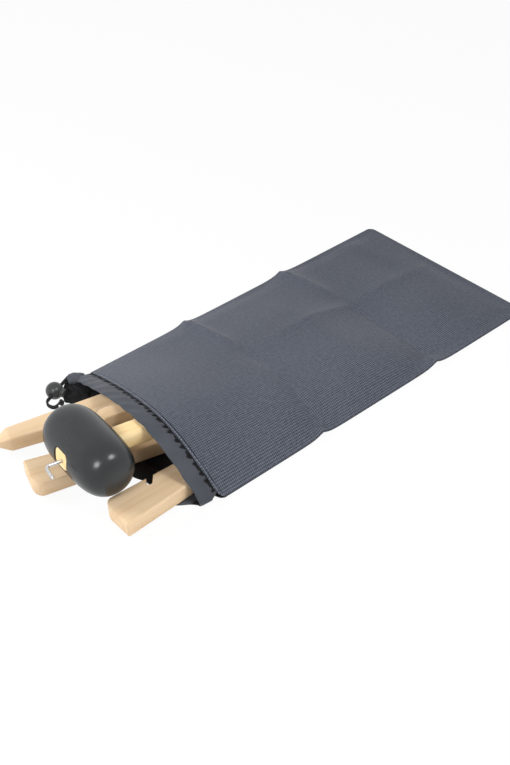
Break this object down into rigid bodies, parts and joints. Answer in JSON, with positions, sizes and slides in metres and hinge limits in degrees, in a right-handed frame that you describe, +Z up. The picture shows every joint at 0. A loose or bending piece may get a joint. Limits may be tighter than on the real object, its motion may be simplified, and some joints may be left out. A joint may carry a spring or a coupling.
{
  "type": "mallet and tent peg set in a drawstring bag",
  "caption": "Rubber mallet with a wooden handle and a steel peg hook, and flat wooden tent pegs, in a flat woven drawstring bag with a ball cord lock.",
  "frame": {"origin": "on the table, under the middle of everything but the loose cord", "axes": "+X along the bag from its open mouth towards its closed end, +Y across the bag to the side where the cord comes out, +Z up"},
  "size_m": [0.5176, 0.226, 0.0729],
  "materials": {
    "woven_fabric": "matt slate grey weave",
    "band_fabric": "smooth matt lining",
    "cord_black": "matt braided cord",
    "lock_plastic": "moulded, satin",
    "spring_steel": "drawn wire",
    "black_rubber": "moulded, semi-gloss",
    "handle_wood": "turned and sanded beech, clear oiled",
    "peg_wood": "sawn and sanded beech",
    "hook_steel": "zinc plated wire"
  },
  "bodies": {
    "bag": {"bag_upper_panel": "woven_fabric", "bag_lower_panel": "woven_fabric", "upper_mouth_channel": "band_fabric", "lower_mouth_channel": "band_fabric", "drawcord": "cord_black", "cord_end_upper": "cord_black", "cord_end_lower": "cord_black", "cord_end_knot": "cord_black"},
    "mallet": {"mallet_head": "black_rubber", "mallet_handle": "handle_wood", "mallet_hook": "hook_steel"},
    "left_peg": {"peg_left": "peg_wood"},
    "under_peg": {"peg_under_mallet": "peg_wood"},
    "right_peg": {"peg_right": "peg_wood"},
    "edge_peg": {"peg_on_edge": "peg_wood"},
    "cord_lock": {"cord_lock_ball": "lock_plastic", "cord_lock_spring": "spring_steel"},
    "cord_lock_button": {"cord_lock_plunger": "lock_plastic"}
  },
  "joints": [
    {"name": "mallet_slide", "type": "slide", "parent": "bag", "child": "mallet", "axis": [-0.9886, 0.0691, 0.1337], "range_m": [0, 0.23]},
    {"name": "left_peg_slide", "type": "slide", "parent": "bag", "child": "left_peg", "axis": [-0.9659, 0.2588, 0], "range_m": [0, 0.12]},
    {"name": "under_peg_slide", "type": "slide", "parent": "bag", "child": "under_peg", "axis": [-0.9563, 0.2924, 0], "range_m": [0, 0.12]},
    {"name": "right_peg_slide", "type": "slide", "parent": "bag", "child": "right_peg", "axis": [-1, 0, 0], "range_m": [0, 0.15]},
    {"name": "edge_peg_slide", "type": "slide", "parent": "bag", "child": "edge_peg", "axis": [0.9863, -0.165, 0], "range_m": [0, 0.008]},
    {"name": "cord_lock_slide", "type": "slide", "parent": "bag", "child": "cord_lock", "axis": [0.9, 0.4359, 0], "range_m": [0, 0.005]},
    {"name": "cord_lock_press", "type": "slide", "parent": "cord_lock", "child": "cord_lock_button", "axis": [-0.4359, 0.9, 0], "range_m": [0, 0.0025], "stiffness_N_per_m": 400, "springref_m": -0.003, "deforming": ["cord_lock_spring"]}
  ]
}
